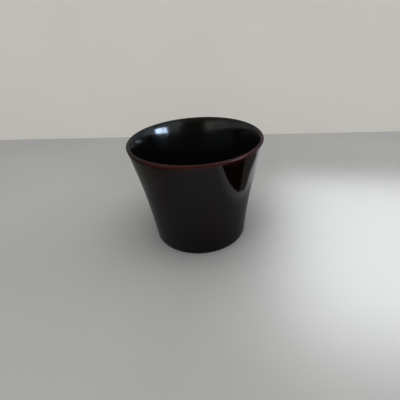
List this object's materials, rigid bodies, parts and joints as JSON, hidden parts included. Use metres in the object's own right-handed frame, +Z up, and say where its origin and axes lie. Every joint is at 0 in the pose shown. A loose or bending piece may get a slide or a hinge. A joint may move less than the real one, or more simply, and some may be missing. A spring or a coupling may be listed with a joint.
{
  "type": "lacquer cup",
  "caption": "Handleless turned wooden cup with a gently flared wall, rounded maroon lip, dark glossy lacquer outside and black lacquer inside.",
  "frame": {"origin": "centre of the foot, on the surface that the cup stands on", "axes": "+Z up along the cup's axis of revolution; X and Y are equivalent"},
  "size_m": [0.0832, 0.0832, 0.0668],
  "materials": {
    "wood": "bare turned wood, closed inside the coats",
    "cloth": "plain woven hemp cloth stiffened with lacquer",
    "ground": "matte ground coat of clay and lacquer",
    "lacquer_foot": "satin black-brown lacquer, rubbed where it stands",
    "lacquer_outer": "high gloss very dark red-brown lacquer",
    "lacquer_rim": "glossy maroon lacquer, thinner over the lip",
    "lacquer_inner": "high gloss black lacquer"
  },
  "bodies": {
    "root": {"wood_core": "wood", "rim_cloth": "cloth", "foot_cloth": "cloth", "base_ground_coat": "ground", "outer_ground_coat": "ground", "inner_ground_coat": "ground", "foot_recess_lacquer": "lacquer_foot", "foot_ring_lacquer": "lacquer_foot", "outer_lacquer": "lacquer_outer", "rim_lacquer": "lacquer_rim", "inner_lacquer": "lacquer_inner"}
  },
  "joints": []
}
